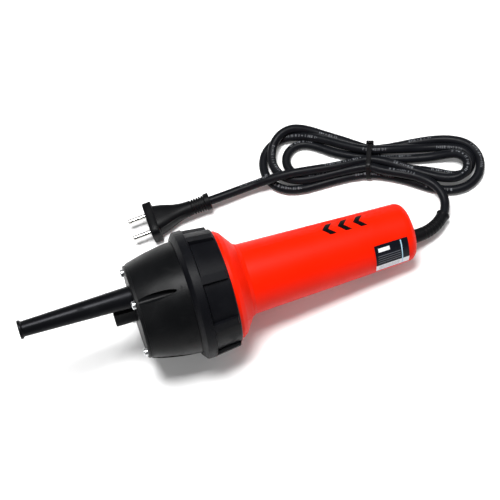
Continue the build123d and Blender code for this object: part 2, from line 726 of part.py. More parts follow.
# ---- cord end inside the handle, held by its clamp ----
with BuildPart() as cord_end:
    with BuildSketch(across(CAVITY_REAR + 2)):
        with Locations((0, -OUTLET_DROP)):
            Circle(CORD_D / 2)
    extrude(amount=57 - CAVITY_REAR - 2)
save(cord_end, "cord_end")

with BuildPart() as cord_clamp:
    with BuildSketch(across(CLAMP_AT - 4)):
        with Locations((0, -OUTLET_DROP + CORD_D / 2 + 1.8)):
            Rectangle(2 * CLAMP_HALF, 3.6)
        with Locations((CLAMP_LEG, -11.2), (-CLAMP_LEG, -11.2)):
            Rectangle(2 * (CLAMP_HALF - CLAMP_LEG), 7)
    extrude(amount=8)
save(cord_clamp, "cord_clamp")

with BuildPart() as clamp_screws:
    with BuildSketch(Plane.XY.offset(-OUTLET_DROP + CORD_D / 2 + 3.6)):
        with Locations((-CLAMP_AT, CLAMP_LEG), (-CLAMP_AT, -CLAMP_LEG)):
            Circle(1.8)
    extrude(amount=1.8)
save(clamp_screws, "clamp_screws")

# ---- boot, where the cord leaves the rear face ----
outlet = SEAT * Location((0, 0, -OUTLET_DROP))
OUTLET_POINT = outlet.position
REARWARD = Vector(cos(TILT), 0, -sin(TILT))
BOOT_R = 6.2
BOOT_CORNER = OUTLET_POINT + REARWARD * 33
BOOT_END = Vector(221.2, 10.5, 10.2)
BOOT_BEND = 24.0


def tube_along(points, bends, radius):
    """Round tube along straight runs joined by tangent arcs."""
    with BuildPart() as piece:
        with BuildLine() as path:
            FilletPolyline(*points, radius=bends)
        with BuildSketch(Plane(origin=path.line @ 0, z_dir=path.line % 0)):
            Circle(radius)
        sweep(path=path.line)
    length = path.wire().length
    ratio = piece.part.volume / (pi * radius**2 * length)
    print(f"tube length {length:.1f} mm, volume against section x length {ratio:.4f}")
    return piece


with BuildPart() as cord_boot:
    add(tube_along([OUTLET_POINT - REARWARD * CAVITY_REAR, BOOT_CORNER, BOOT_END], [BOOT_BEND],
                   BOOT_R).part)
    with BuildSketch(Plane(origin=OUTLET_POINT - REARWARD * CAVITY_REAR, z_dir=-REARWARD)):
        Circle(8.0)
    extrude(amount=2)
save_on_ground(cord_boot, "cord_boot")


# ---- the cord outside: lead, hank and tail ----
def bend_radii(points):
    """Largest bend that the two runs at each corner leave room for."""
    radii = []
    for before, at, after in zip(points, points[1:], points[2:]):
        turn = radians((at - before).get_angle(after - at))
        radii.append(0.45 * min((at - before).length, (after - at).length) / tan(turn / 2))
    return radii


PLUG_Y = 112.0
PLUG_Z = 13.0
PLUG_NECK_X = 15.2
PINS_FACE_X = -49.8
LEAD_POINTS = [BOOT_END, Vector(228.9, 23.4, 9.6), Vector(232.3, 37.5, 10.4)]
TAIL_POINTS = [Vector(PLUG_NECK_X, PLUG_Y, PLUG_Z), Vector(34.7, 112, 13), Vector(57.7, 113, 9.8),
               Vector(81.7, 111.6, 12)]
for name, points in (("cord_lead", LEAD_POINTS), ("cord_tail", TAIL_POINTS)):
    radii = bend_radii(points)
    print(name, "bend radii", [round(radius, 1) for radius in radii])
    save_on_ground(tube_along(points, radii, CORD_D / 2), name)

HANK_HEIGHT = 2 * CORD_D
TIE_AT = (175.7, 91.5)
TIE_R = 16.5
LEFT_LOOPS = (((98.7, 131.0), 24.5), ((98.7, 107.5), 20.0))
RIGHT_LOOPS = (((250.7, 54.5), 30.0), ((244.7, 68.0), 27.0))

with BuildPart() as cord_hank:
    for loops in (LEFT_LOOPS, RIGHT_LOOPS):
        with BuildSketch() as outline:
            with BuildSketch(mode=Mode.PRIVATE) as rounds:
                for centre, radius in loops + ((TIE_AT, TIE_R),):
                    with Locations(centre):
                        Circle(radius)
            make_hull(rounds.sketch.edges())
        extrude(outline.sketch, amount=HANK_HEIGHT)
save_on_ground(cord_hank, "cord_hank")

TIE_TURN = degrees(atan2(-14.1, 31.7))
TIE_BAND = 5.0
TIE_THICKNESS = 1.4
tie_plane = Plane(origin=(TIE_AT[0], TIE_AT[1], HANK_HEIGHT / 2),
                  x_dir=(-sin(radians(TIE_TURN)), cos(radians(TIE_TURN)), 0),
                  z_dir=(cos(radians(TIE_TURN)), sin(radians(TIE_TURN)), 0))
with BuildPart() as cable_tie:
    with BuildSketch(tie_plane.offset(-TIE_BAND / 2)):
        RectangleRounded(2 * TIE_R + 2 * TIE_THICKNESS, HANK_HEIGHT, 4)
        RectangleRounded(2 * TIE_R, HANK_HEIGHT - 2 * TIE_THICKNESS, 3, mode=Mode.SUBTRACT)
    extrude(amount=TIE_BAND)
    with BuildSketch(tie_plane.offset(-4)):
        with Locations((TIE_R + 2.6, 1)):
            Rectangle(4.4, 6)
    extrude(amount=8)
save_on_ground(cable_tie, "cable_tie")

# ---- mains plug with two round pins ----
PIN_SPACING = 19.0
PIN_LENGTH = 19.0
PIN_R = 2.4


def plug_section(x):
    """Section plane of the plug at x, extruding away from the pins."""
    return Plane(origin=(x, PLUG_Y, PLUG_Z), x_dir=(0, 1, 0), z_dir=(1, 0, 0))


with BuildPart() as plug_body:
    with BuildSketch(plug_section(PINS_FACE_X)):
        Ellipse(19.2, 12.9)
    extrude(amount=6.5)
    with BuildSketch(plug_section(PINS_FACE_X + 6.5)):
        Ellipse(14.5, 11.0)
    with BuildSketch(plug_section(PINS_FACE_X + 20)):
        Ellipse(12.0, 9.8)
    with BuildSketch(plug_section(PINS_FACE_X + 36)):
        Ellipse(7.6, 7.4)
    loft()
    with BuildSketch(plug_section(PINS_FACE_X + 36)):
        Circle(6.4)
    extrude(amount=PLUG_NECK_X - PINS_FACE_X - 36)
    with BuildSketch(plug_section(PLUG_NECK_X - 6)):
        Circle(7.6)
    extrude(amount=6)
save_on_ground(plug_body, "plug_body")

with BuildPart() as plug_pins:
    with BuildSketch(plug_section(PINS_FACE_X - PIN_LENGTH)):
        with Locations((PIN_SPACING / 2, 0), (-PIN_SPACING / 2, 0)):
            Circle(PIN_R)
    extrude(amount=PIN_LENGTH)
    fillet(plug_pins.edges().group_by(Axis.X)[0], radius=1.2)
save_on_ground(plug_pins, "plug_pins")

print(f"tilt {degrees(TILT):.3f} deg, axis height {AXIS_HEIGHT:.3f}, shift {SHIFT_X:.3f}")
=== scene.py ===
"""Hot-air gun lying on a pale table with its mains lead folded into a tied hank beside it.

Lengths in the tables are millimetres and become metres through MM. The tool frame is the design's:
a station is the distance forward of the rear face, an angle is counted from the tool's upright
towards its label side.
"""
from math import atan2, ceil, cos, degrees, pi, radians, sin
from random import Random

import bmesh
import bpy
from mathutils import Matrix, Quaternion, Vector


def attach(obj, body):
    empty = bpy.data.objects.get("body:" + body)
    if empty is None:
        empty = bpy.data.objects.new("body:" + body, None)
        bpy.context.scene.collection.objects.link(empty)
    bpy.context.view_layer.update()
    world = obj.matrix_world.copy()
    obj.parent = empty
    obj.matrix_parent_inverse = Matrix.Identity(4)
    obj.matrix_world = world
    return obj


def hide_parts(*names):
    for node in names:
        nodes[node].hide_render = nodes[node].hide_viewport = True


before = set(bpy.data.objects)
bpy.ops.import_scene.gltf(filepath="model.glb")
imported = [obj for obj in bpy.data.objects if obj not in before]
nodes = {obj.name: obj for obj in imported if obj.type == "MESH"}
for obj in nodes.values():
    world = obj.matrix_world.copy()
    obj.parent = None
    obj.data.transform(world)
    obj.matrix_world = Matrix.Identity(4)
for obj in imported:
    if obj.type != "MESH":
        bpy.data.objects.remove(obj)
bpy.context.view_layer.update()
scene = bpy.context.scene
MM = 0.001

# ---- the tool's resting place, as in the design ----
TILT = radians(9.229)
ROLL = radians(-22.0)
TOOL_ORIGIN = Vector((181.628, 0.0, 26.311))
SEAT = Matrix.Rotation(TILT, 3, "Y") @ Matrix.Rotation(ROLL, 3, "X")
TAPER_REAR = 9.0
TAPER_FRONT = 162.0
BARREL_REAR_R = 28.0
BARREL_FRONT_R = 33.6


def on_tool(station, angle, radius):
    """Point (m) on a circle about the tool axis; the angle is in degrees."""
    turn = radians(angle)
    local = Vector((-station, -sin(turn) * radius, cos(turn) * radius))
    return (TOOL_ORIGIN + SEAT @ local) * MM


def barrel_radius(station):
    """Outside radius (mm) of the tapered handle."""
    along = (station - TAPER_REAR) / (TAPER_FRONT - TAPER_REAR)
    return BARREL_REAR_R + (BARREL_FRONT_R - BARREL_REAR_R) * along


# ---- camera ----
CAMERA_AT = Vector((0.03771, -0.50662, 1.14507))
CAMERA_ELEVATION = radians(64.0)
CAMERA_AZIMUTH = 0.0047924  # radians
CAMERA_ROLL = -0.36444958  # radians
CAMERA_LENS = 93.6
SENSOR = 36.0
CLIP_END = 20.0

right = Vector((cos(CAMERA_AZIMUTH), sin(CAMERA_AZIMUTH), 0.0))
back = Vector((sin(CAMERA_AZIMUTH) * cos(CAMERA_ELEVATION),
               -cos(CAMERA_AZIMUTH) * cos(CAMERA_ELEVATION), sin(CAMERA_ELEVATION)))
up = back.cross(right)
level = Matrix((right, up, back)).transposed()
camera = bpy.data.objects.new("camera", bpy.data.cameras.new("camera"))
scene.collection.objects.link(camera)
camera.data.sensor_width = SENSOR
camera.data.lens = CAMERA_LENS
camera.data.clip_end = CLIP_END
camera.matrix_world = Matrix.Translation(CAMERA_AT) @ (
    level @ Matrix.Rotation(CAMERA_ROLL, 3, "Z")).to_4x4()
scene.camera = camera

# ---- route of the mains lead ----
CORD_D = 8.8
BOOT_END = (221.2, 10.5, 10.2)
PLUG_Y = 112.0
PLUG_Z = 13.0
PLUG_NECK_X = 15.2
NECK_OVERLAP = 3.0
PINS_FACE_X = -49.8
TIE_AT = (175.7, 91.5)
HANK_TURN = radians(-24.0)


def hank(along, across, height):
    """Point (mm) from distances along and across the hank, counted from its tie."""
    c, s = cos(HANK_TURN), sin(HANK_TURN)
    return (TIE_AT[0] + c * along - s * across, TIE_AT[1] + s * along + c * across, height)


# from the boot over the near strand of the hank to the tie
LEAD = [BOOT_END, (226.3, 18.0, 9.6), (228.4, 29.0, 10.4), (225.4, 40.5, 12.4), (217.0, 52.0, 13.1),
        (204.5, 62.5, 13.2), hank(15, -11.4, 13.2)]
# the strands in their order; each point has its distance along and across the hank and its height
LOOPS = [
    # first left loop, outermost on top
    (0, -6.4, 13.1), (-14, -9.0, 12.6), (-28, -12.2, 11.4), (-44, -16.4, 10.4), (-60, -20.6, 10.2),
    (-74, -21.4, 10.2), (-87, -16.6, 9.8), (-95.5, -6.4, 9.6), (-98.5, 5.0, 10.2), (-97.5, 17.0, 11.8),
    (-91.5, 28.5, 13.4), (-80.5, 35.6, 13.2), (-68, 36.8, 10.2), (-55, 34.8, 6.2), (-42, 31.0, 4.6),
    (-28, 26.6, 4.5), (-13, 20.8, 4.8),
    # first right loop, the outer one
    (0, 15.8, 5.5), (15, 17.8, 4.8), (31, 21.8, 4.5), (48, 25.8, 4.5), (64, 28.4, 4.5),
    (80, 28.6, 4.5), (94, 24.8, 4.5), (103.5, 16.0, 4.5), (108.2, 4.0, 4.5), (107.2, -9.0, 4.5),
    (100.5, -19.5, 4.5), (89.5, -26.0, 4.5), (76, -27.8, 4.5), (62, -25.2, 4.5), (48, -20.4, 4.5),
    (34, -15.8, 4.5), (17, -12.2, 4.8),
    # second left loop, the outermost at the end
    (0, -10.8, 5.5), (-16, -13.2, 4.6), (-32, -17.6, 4.5), (-48, -23.0, 4.5), (-64, -28.2, 4.5),
    (-79, -29.8, 4.5), (-93, -25.4, 4.5), (-103.0, -15.0, 4.5), (-107.4, -1.5, 4.5),
    (-106.0, 12.0, 4.5), (-98.5, 23.0, 4.6), (-87, 29.0, 5.4), (-73, 29.6, 7.4),
    (-58, 27.4, 9.8), (-42, 23.0, 10.6), (-27, 17.8, 11.4), (-13, 13.8, 12.4),
    # second right loop
    (0, 11.2, 13.1), (16, 12.4, 12.8), (33, 14.8, 9.8), (50, 17.6, 5.8), (67, 19.6, 4.6),
    (82, 19.4, 4.5), (93, 16.6, 4.5), (98.8, 8.6, 4.5), (98.8, -2.0, 4.5), (92.5, -9.8, 4.5),
    (81, -11.6, 4.5), (69, -8.8, 4.5), (56, -6.4, 4.5), (42, -5.2, 4.5), (28, -4.2, 4.6), (15, -3.2, 4.8),
    # third left loop, the inner one
    (0, -2.0, 5.5), (-15, -3.4, 4.8), (-30, -7.2, 4.6), (-46, -11.4, 4.5), (-61, -14.2, 4.5),
    (-74, -12.4, 4.5), (-83, -3.0, 4.5), (-84.5, 9.4, 4.5), (-77.5, 19.6, 4.5),
    (-65.5, 22.8, 4.5), (-51, 18.6, 4.5), (-36, 12.8, 4.6), (-17, 8.6, 4.9),
    # third right loop, shifted across the second and lying over its end
    (0, 6.8, 5.5), (16, 5.8, 5.0), (32, 6.0, 4.6), (47, 7.0, 4.6), (61, 8.2, 5.4), (75, 9.6, 9.0),
    (86.5, 8.8, 12.6), (95.5, 1.2, 13.8), (96.0, -10.0, 13.8), (87.5, -18.2, 13.6), (75, -18.8, 12.8),
    (62, -15.6, 12.0), (48, -11.4, 12.2), (33, -6.6, 13.0), (16, -1.0, 13.2),
    # over the left loops towards the plug
    (0, 1.6, 13.3), (-14, -2.8, 14.6), (-28, -7.6, 16.4), (-45, -11.8, 17.6), (-63, -15.0, 17.6),
    (-81, -18.6, 17.0), (-98, -23.2, 14.6)]
TAIL = [(57.7, 112.9, 10.4), (37.0, 112.2, 12.0), (PLUG_NECK_X - NECK_OVERLAP, PLUG_Y, PLUG_Z)]
ROUTE = LEAD + [hank(*point) for point in LOOPS] + TAIL


def nurbs_curve(name, points, resolution):
    """Curve object of one open quadratic NURBS spline through the control points (mm)."""
    data = bpy.data.curves.new(name, "CURVE")
    data.dimensions = "3D"
    data.resolution_u = resolution
    spline = data.splines.new("NURBS")
    spline.points.add(len(points) - 1)
    for knot, point in zip(spline.points, points):
        knot.co = (point[0] * MM, point[1] * MM, point[2] * MM, 1.0)
    spline.order_u = 3
    spline.use_endpoint_u = True
    obj = bpy.data.objects.new(name, data)
    scene.collection.objects.link(obj)
    return obj


def line_of(points, resolution):
    """Points (m) read from the NURBS line of these control points."""
    probe = nurbs_curve("probe", points, resolution)
    mesh = bpy.data.meshes.new_from_object(probe)
    line = [vertex.co.copy() for vertex in mesh.vertices]
    bpy.data.meshes.remove(mesh)
    data = probe.data
    bpy.data.objects.remove(probe)
    bpy.data.curves.remove(data)
    return line


def length_of(line):
    """Length of a run of points."""
    return sum((b - a).length for a, b in zip(line, line[1:]))


# ---- materials ----
COAT_ROUGHNESS = 0.25
NOISE_LOW = 0.3
NOISE_HIGH = 0.7
GLOSS_VARIES = 0.07
SMOOTHEST = 0.03
SCUFF_SCALE = 30.0
SCUFF_DETAIL = 8.0
SCUFF_WARP = 3.5
SCUFF_BAND = (0.60, 0.66)
GRAIN_DEPTH = 0.0004


def finish(name, colour, rough, *, metallic=0.0, spread=0.14, mottle=45.0, grain=1500.0, bump=0.12,
           scuffs=0.0, stretch=(1.0, 1.0, 1.0), coat=0.0, sheen=0.0, specular=0.06):
    """Procedural finish: mottled colour, uneven gloss, fine moulded grain and faint scuffs."""
    mat = bpy.data.materials.new(name)
    mat.use_nodes = True
    tree = mat.node_tree
    make = tree.nodes.new
    link = tree.links.new
    shader = tree.nodes["Principled BSDF"]
    shader.inputs["Metallic"].default_value = metallic
    shader.inputs["Coat Weight"].default_value = coat
    shader.inputs["Coat Roughness"].default_value = COAT_ROUGHNESS
    shader.inputs["Sheen Weight"].default_value = sheen
    shader.inputs["Specular IOR Level"].default_value = specular
    coords = make("ShaderNodeTexCoord")
    placed = make("ShaderNodeMapping")
    placed.inputs["Scale"].default_value = stretch
    link(coords.outputs["Object"], placed.inputs["Vector"])
    cloud = make("ShaderNodeTexNoise")
    cloud.inputs["Scale"].default_value = mottle
    cloud.inputs["Detail"].default_value = 5.0
    link(placed.outputs["Vector"], cloud.inputs["Vector"])
    ramp = make("ShaderNodeValToRGB")
    ramp.color_ramp.elements[0].position = NOISE_LOW
    ramp.color_ramp.elements[1].position = NOISE_HIGH
    ramp.color_ramp.elements[0].color = [channel * (1 - spread) for channel in colour] + [1.0]
    ramp.color_ramp.elements[1].color = [min(channel * (1 + spread), 1.0) for channel in colour] + [1.0]
    link(cloud.outputs["Fac"], ramp.inputs["Fac"])
    link(ramp.outputs["Color"], shader.inputs["Base Color"])
    fine = make("ShaderNodeTexNoise")
    fine.inputs["Scale"].default_value = grain
    fine.inputs["Detail"].default_value = 3.0
    link(placed.outputs["Vector"], fine.inputs["Vector"])
    gloss = make("ShaderNodeMapRange")
    gloss.inputs["From Min"].default_value = NOISE_LOW
    gloss.inputs["From Max"].default_value = NOISE_HIGH
    gloss.inputs["To Min"].default_value = max(rough - GLOSS_VARIES, SMOOTHEST)
    gloss.inputs["To Max"].default_value = rough + GLOSS_VARIES
    link(cloud.outputs["Fac"], gloss.inputs["Value"])
    roughness = gloss.outputs["Result"]
    if scuffs:
        marks = make("ShaderNodeTexNoise")
        marks.inputs["Scale"].default_value = SCUFF_SCALE
        marks.inputs["Detail"].default_value = SCUFF_DETAIL
        marks.inputs["Distortion"].default_value = SCUFF_WARP
        link(placed.outputs["Vector"], marks.inputs["Vector"])
        band = make("ShaderNodeMapRange")
        band.inputs["From Min"].default_value = SCUFF_BAND[0]
        band.inputs["From Max"].default_value = SCUFF_BAND[1]
        band.inputs["To Min"].default_value = 0.0
        band.inputs["To Max"].default_value = scuffs
        link(marks.outputs["Fac"], band.inputs["Value"])
        total = make("ShaderNodeMath")
        total.operation = "ADD"
        link(roughness, total.inputs[0])
        link(band.outputs["Result"], total.inputs[1])
        roughness = total.outputs["Value"]
    link(roughness, shader.inputs["Roughness"])
    relief = make("ShaderNodeBump")
    relief.inputs["Strength"].default_value = bump
    relief.inputs["Distance"].default_value = GRAIN_DEPTH
    link(fine.outputs["Fac"], relief.inputs["Height"])
    link(relief.outputs["Normal"], shader.inputs["Normal"])
    return mat


RED = finish("red_moulded", (0.64, 0.0090, 0.0001), 0.42, spread=0.045, mottle=18, grain=1700, bump=0.10,
             scuffs=0.10)
RING = finish("black_ring_moulded", (0.0030, 0.0032, 0.0042), 0.40, grain=1300, bump=0.22, scuffs=0.14)
NOSE = finish("black_nose_moulded", (0.0030, 0.0032, 0.0036), 0.36, grain=1200, bump=0.20, scuffs=0.16)
PLATE = finish("black_plate_moulded", (0.0040, 0.0042, 0.0046), 0.44, grain=1200, bump=0.22, scuffs=0.12)
TUBE = finish("black_tube_coated", (0.0040, 0.0042, 0.0052), 0.32, metallic=0.35, grain=2200, bump=0.10,
              scuffs=0.18, stretch=(0.35, 1.0, 1.0))
RUBBER = finish("rubber_boot", (0.0032, 0.0034, 0.0040), 0.42, grain=900, bump=0.20, sheen=0.01)
CORD = finish("cord_rubber_jacket", (0.0040, 0.0044, 0.0058), 0.36, grain=700, bump=0.16, mottle=90,
              scuffs=0.12, sheen=0.005)
PLUG = finish("plug_rubber", (0.0022, 0.0023, 0.0028), 0.42, grain=1000, bump=0.28, sheen=0.01)
TIE = finish("tie_nylon", (0.006, 0.006, 0.0065), 0.26, grain=800, bump=0.10)
NICKEL = finish("nickel_plate", (0.50, 0.49, 0.47), 0.20, metallic=1.0, spread=0.06, grain=500, bump=0.02,
                scuffs=0.08)
ZINC = finish("zinc_steel", (0.55, 0.56, 0.57), 0.30, metallic=1.0, spread=0.16, mottle=300, grain=1500,
              bump=0.10)
STEEL = finish("bearing_steel", (0.48, 0.48, 0.49), 0.22, metallic=1.0, grain=2500, bump=0.05)
IRON = finish("laminated_iron", (0.21, 0.20, 0.20), 0.45, metallic=0.9, mottle=120, grain=500, bump=0.4,
              stretch=(14.0, 0.4, 0.4))
COPPER = finish("enamelled_copper", (0.60, 0.19, 0.07), 0.30, metallic=0.9, spread=0.2, mottle=200,
                grain=1500, bump=0.35, coat=0.4)
BRASS = finish("brass", (0.72, 0.50, 0.20), 0.28, metallic=1.0, grain=1800, bump=0.08)
CARBON = finish("carbon", (0.018, 0.018, 0.019), 0.62, grain=1600, bump=0.3)
MICA = finish("mica", (0.56, 0.50, 0.38), 0.34, spread=0.22, mottle=160, grain=600, bump=0.15)
CERAMIC = finish("ceramic", (0.72, 0.69, 0.62), 0.70, grain=900, bump=0.3)
HEATER = finish("heater_wire", (0.30, 0.28, 0.27), 0.36, metallic=1.0, grain=2500, bump=0.1)
NYLON = finish("nylon", (0.055, 0.056, 0.058), 0.48, grain=1300, bump=0.2)
ALUMINIUM = finish("die_cast_aluminium", (0.58, 0.59, 0.60), 0.42, metallic=1.0, mottle=150, grain=1100,
                   bump=0.35)
BOARD = finish("circuit_board", (0.012, 0.095, 0.030), 0.38, spread=0.25, mottle=220, grain=900, bump=0.1)
BLOCK = finish("terminal_block", (0.055, 0.06, 0.065), 0.45, grain=1100, bump=0.2)
SLEEVE = finish("lead_sleeve", (0.62, 0.60, 0.54), 0.65, grain=2600, bump=0.5, mottle=300)
SWITCH = finish("switch_plastic", (0.012, 0.012, 0.013), 0.34, grain=1500, bump=0.1)
PRINT = finish("cord_print_ink", (0.075, 0.078, 0.085), 0.55, spread=0.6, mottle=420, grain=2400, bump=0.1)
INK = finish("marking_ink", (0.0015, 0.0015, 0.0018), 0.36, spread=0.2, mottle=160, grain=2400, bump=0.05)

FINISHES = {
    RED: ["housing"], RING: ["coupling_ring"], NOSE: ["nose_shell"],
    PLATE: ["front_plate", "bearing_cap", "duct_plate"],
    TUBE: ["nozzle_tube"], ZINC: ["front_screws", "motor_bolts", "clamp_screws", "impeller_nut"],
    RUBBER: ["seal_ring", "cord_clamp"], NICKEL: ["plug_pins"], CORD: ["cord_end"],
    STEEL: ["shaft", "front_bearing", "rear_bearing", "middle_bearing", "brush_springs"],
    IRON: ["armature_core", "stator_core"], COPPER: ["armature_windings", "field_coils", "commutator"],
    BRASS: ["brush_holders"], CARBON: ["carbon_brushes"], MICA: ["mica_sleeve", "tube_gasket"],
    CERAMIC: ["heater_former"], HEATER: ["heater_coil"],
    NYLON: ["impeller", "inlet_plate", "brush_carrier"],
    ALUMINIUM: ["rear_end_frame", "front_end_frame", "thermal_cutout"], BOARD: ["control_board"],
    BLOCK: ["terminal_block", "capacitor"], SLEEVE: ["heater_leads"],
    SWITCH: ["switch_body", "switch_rocker"],
}
for mat, names in FINISHES.items():
    for name in names:
        nodes[name].data.materials.clear()
        nodes[name].data.materials.append(mat)


# ---- mesh helpers ----
def finished(mesh, name, mat, angle=35.0):
    """Object of a bmesh, smooth except at its sharp edges, riding on the tool."""
    bmesh.ops.recalc_face_normals(mesh, faces=mesh.faces)
    data = bpy.data.meshes.new(name)
    mesh.to_mesh(data)
    mesh.free()
    data.materials.append(mat)
    for face in data.polygons:
        face.use_smooth = True
    data.set_sharp_from_angle(angle=radians(angle))
    obj = bpy.data.objects.new(name, data)
    scene.collection.objects.link(obj)
    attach(obj, "tool")
    return obj


def skin(mesh, rings, caps=(True, True)):
    """Faces between rings of points, with closed ends where asked."""
    loops = [[mesh.verts.new(point) for point in ring] for ring in rings]
    count = len(loops[0])
    for first, second in zip(loops, loops[1:]):
        for index in range(count):
            after = (index + 1) % count
            mesh.faces.new((first[index], first[after], second[after], second[index]))
    for wanted, loop in zip(caps, (loops[0][::-1], loops[-1])):
        if wanted:
            mesh.faces.new(loop)
    return loops


def frames_along(line):
    """Position, tangent and two carried normals at each point of a line."""
    tangents = []
    for index in range(len(line)):
        ahead = line[min(index + 1, len(line) - 1)]
        behind = line[max(index - 1, 0)]
        tangents.append((ahead - behind).normalized())
    side = tangents[0].cross(Vector((0, 0, 1))).normalized()
    frames = []
    for index, tangent in enumerate(tangents):
        if index:
            side = tangents[index - 1].rotation_difference(tangent) @ side
        side = (side - tangent * side.dot(tangent)).normalized()
        frames.append((line[index], tangent, side, tangent.cross(side)))
    return frames


def travelled(line):
    """Distance from the start at each point of a line."""
    total = [0.0]
    for a, b in zip(line, line[1:]):
        total.append(total[-1] + (b - a).length)
    return total


def between(table, x):
    """Value of a piecewise straight table of (x, value) pairs."""
    for (x0, y0), (x1, y1) in zip(table, table[1:]):
        if x <= x1:
            return y0 + (y1 - y0) * (x - x0) / (x1 - x0)
    return table[-1][1]


# ---- the cord ----
CORD_STEPS = 10  # points of the line for each control point
cord = nurbs_curve("mains_cord", ROUTE, CORD_STEPS)
cord.data.bevel_depth = CORD_D / 2 * MM
cord.data.bevel_resolution = 6
cord.data.use_fill_caps = True
cord.data.materials.append(CORD)
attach(cord, "tool")
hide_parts("cord_lead", "cord_hank", "cord_tail")
cord_line = line_of(ROUTE, CORD_STEPS)
cord_length = length_of(cord_line)

# ---- boot: tapered strain relief with a lip ----
BOOT_ROUTE = [(176.1, -3.93, 17.34), (191.0, -3.93, 14.9), (203.0, -1.6, 12.7), (213.8, 3.6, 11.0),
              BOOT_END]
BOOT_STEPS = 40
# distance along the boot and its radius
BOOT_OUTLINE = [(0, 7.9), (2.6, 7.9), (2.8, 6.6), (4.4, 6.6), (4.8, 7.3), (7, 7.2), (8, 6.7), (14, 6.45),
                (30, 6.2), (43, 5.9), (45.2, 5.85), (45.8, 6.5), (47.6, 6.6), (48.4, 6.1), (48.6, 5.0)]
BOOT_GROOVES = (20.0, 23.4, 26.8, 30.2, 33.6, 37.0)
GROOVE_DEPTH = 0.55
GROOVE_HALF = 0.75
BOOT_SIDES = 40

boot_line = line_of(BOOT_ROUTE, BOOT_STEPS)
boot_way = travelled(boot_line)
boot_scale = BOOT_OUTLINE[-1][0] / (boot_way[-1] / MM)
boot_mesh = bmesh.new()
boot_rings = []
for (point, tangent, side, other), way in zip(frames_along(boot_line), boot_way):
    x = way / MM * boot_scale
    radius = between(BOOT_OUTLINE, x)
    for groove in BOOT_GROOVES:
        radius -= GROOVE_DEPTH * max(0.0, 1 - abs(x - groove) / GROOVE_HALF)
    boot_rings.append([point + (side * cos(2 * pi * k / BOOT_SIDES) + other * sin(2 * pi * k / BOOT_SIDES))
                       * radius * MM for k in range(BOOT_SIDES)])
skin(boot_mesh, boot_rings)
boot = finished(boot_mesh, "cord_strain_relief", RUBBER, 40)
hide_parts("cord_boot")

# ---- plug: moulded body with a shouldered face, finger panels and a ribbed neck ----
PLUG_SECTIONS = [  # distance behind the pin face, half width, half height, squareness
    (0.0, 18.2, 11.9, 5.0), (0.3, 18.9, 12.6, 5.0), (0.8, 19.2, 12.9, 5.0), (8.0, 19.2, 12.9, 5.0),
    (8.5, 18.9, 12.6, 5.0), (8.8, 18.2, 12.0, 5.0), (8.9, 15.2, 11.0, 3.0), (11.0, 14.6, 10.9, 3.0),
    (14.0, 13.9, 10.7, 3.0), (18.0, 12.9, 10.3, 2.9), (22.0, 11.6, 9.7, 2.8), (26.0, 10.3, 9.0, 2.6),
    (30.0, 9.2, 8.4, 2.4), (35.0, 8.3, 7.9, 2.2), (40.0, 7.8, 7.6, 2.0), (45.6, 7.5, 7.4, 2.0)]
RIB_TOP = 7.8
RIB_FLOOR = 6.4
RIB_START = 46.2
RIB_PITCH = 2.6
RIB_STEPS = ((0.0, RIB_FLOOR), (0.6, RIB_FLOOR), (0.9, RIB_TOP), (2.2, RIB_TOP), (2.5, RIB_FLOOR))
RIB_COUNT = 5
COLLAR = ((59.3, 6.6), (59.6, 8.1), (60.1, 8.5), (64.4, 8.5), (64.9, 8.1), (65.0, 7.0), (65.0, 4.6))
PLUG_SIDES = 56
PANEL_DEPTH = 1.1
PANEL_START = 8.8
PANEL_END = 38.0
PANEL_FADE_IN = 2.5
PANEL_FADE_OUT = 7.0
PANEL_HEIGHT = 0.62  # share of the half height
PANEL_EDGE = 0.12


def plug_ring(distance, wide, high, power, panel):
    """Squarish ring of the plug with its sides sunk between the finger panels."""
    ring = []
    for k in range(PLUG_SIDES):
        turn = 2 * pi * k / PLUG_SIDES
        c, s = cos(turn), sin(turn)
        y = wide * abs(c) ** (2 / power) * (1 if c >= 0 else -1)
        z = high * abs(s) ** (2 / power) * (1 if s >= 0 else -1)
        sunk = panel * min(1.0, max(0.0, (PANEL_HEIGHT - abs(z) / high) / PANEL_EDGE))
        y -= PANEL_DEPTH * sunk * (1 if c >= 0 else -1)
        ring.append(Vector((PINS_FACE_X + distance, PLUG_Y + y, PLUG_Z + z)) * MM)
    return ring


plug_mesh = bmesh.new()
plug_rings = []
for distance, wide, high, power in PLUG_SECTIONS:
    fade_in = min(1.0, max(0.0, (distance - PANEL_START) / PANEL_FADE_IN))
    fade_out = min(1.0, max(0.0, (PANEL_END - distance) / PANEL_FADE_OUT))
    panel = fade_in * fade_out
    plug_rings.append(plug_ring(distance, wide, high, power, panel))
for rib in range(RIB_COUNT):
    start = RIB_START + rib * RIB_PITCH
    for step, radius in RIB_STEPS:
        plug_rings.append(plug_ring(start + step, radius, radius, 2.0, 0.0))
for distance, radius in COLLAR:
    plug_rings.append(plug_ring(distance, radius, radius, 2.0, 0.0))
skin(plug_mesh, plug_rings)
plug = finished(plug_mesh, "mains_plug", PLUG, 34)
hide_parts("plug_body")

# ---- cable tie round the hank ----
LEAN = 29.9  # slope of the bundle's sides from upright, in degrees
